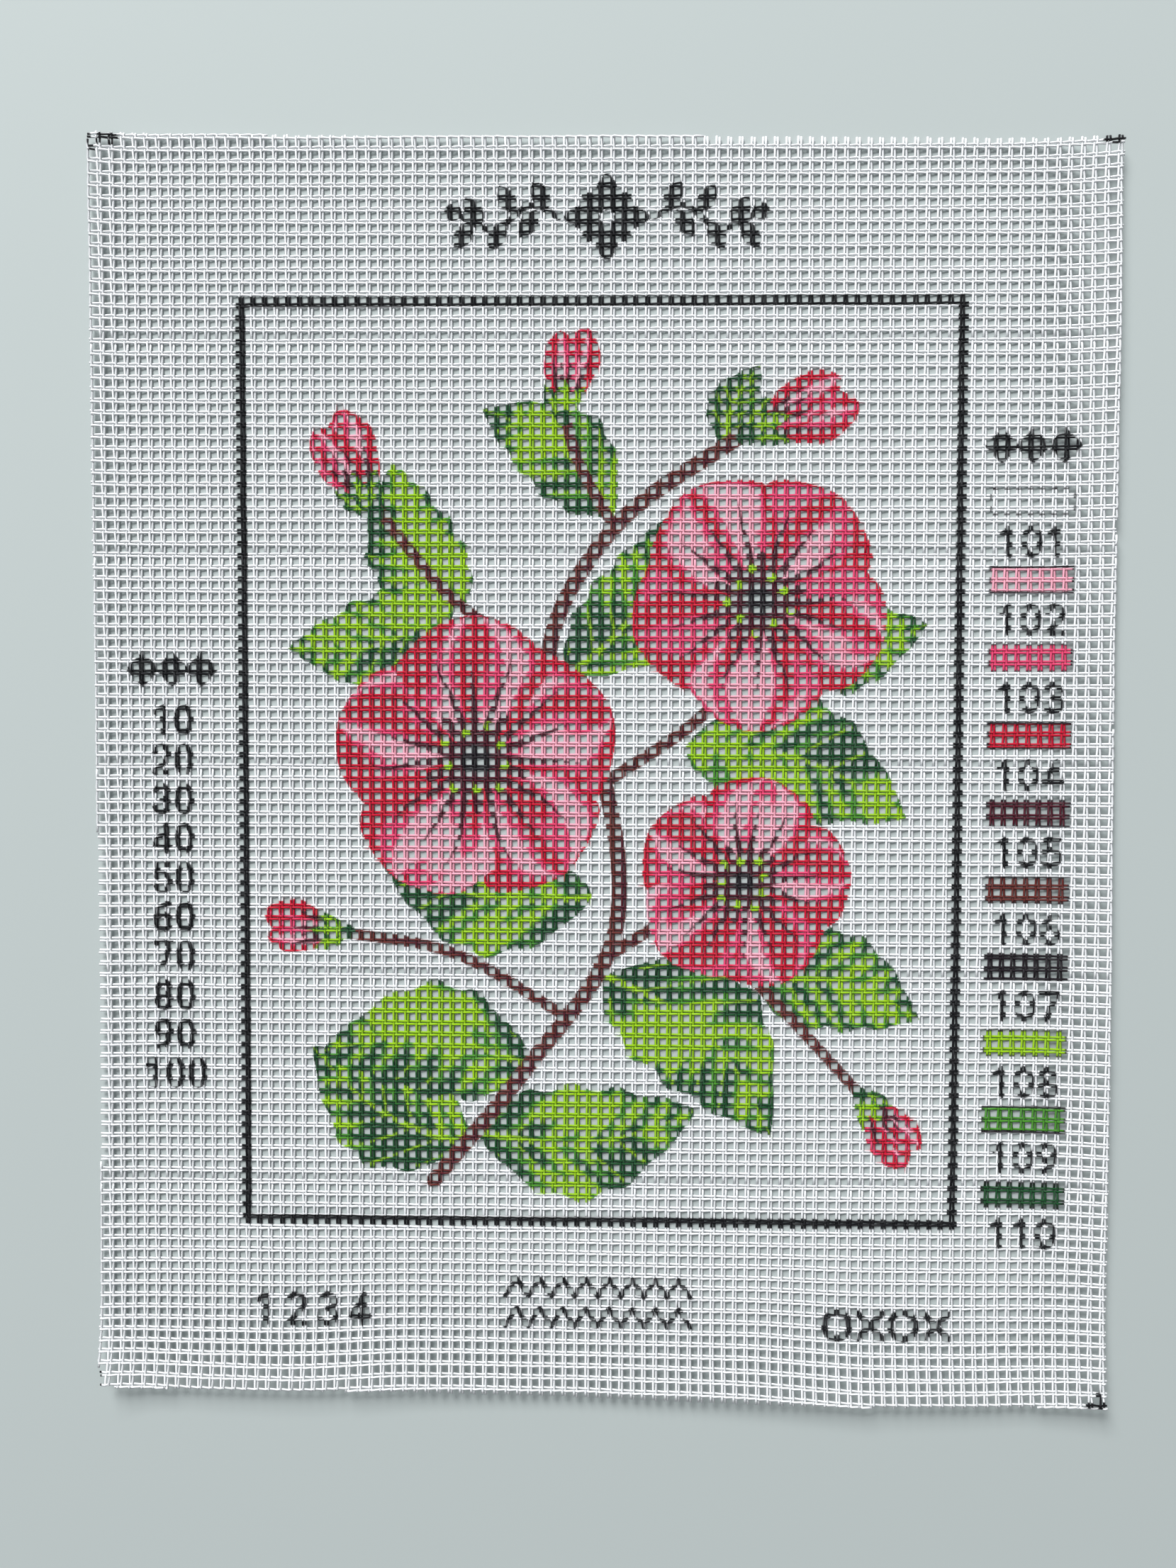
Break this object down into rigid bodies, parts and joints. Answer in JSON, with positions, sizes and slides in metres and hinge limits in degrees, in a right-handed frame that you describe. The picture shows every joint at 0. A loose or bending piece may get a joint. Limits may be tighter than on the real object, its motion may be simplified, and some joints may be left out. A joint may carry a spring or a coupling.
{
  "type": "needlepoint canvas panel",
  "caption": "Flat cut panel of stiff open-mesh double-thread needlepoint canvas, printed with a framed floral picture, a colour key and plain numbers, edges slightly lifted.",
  "frame": {"origin": "on the surface the panel rests on, under the middle of its outline's box", "axes": "+X across the panel to the right, +Y up the panel towards its top edge, +Z out of the printed face"},
  "size_m": [0.2818, 0.3512, 0.0062],
  "materials": {
    "canvas_cotton": "starched matte cotton thread, printed"
  },
  "bodies": {
    "root": {"canvas": "canvas_cotton"}
  },
  "joints": []
}
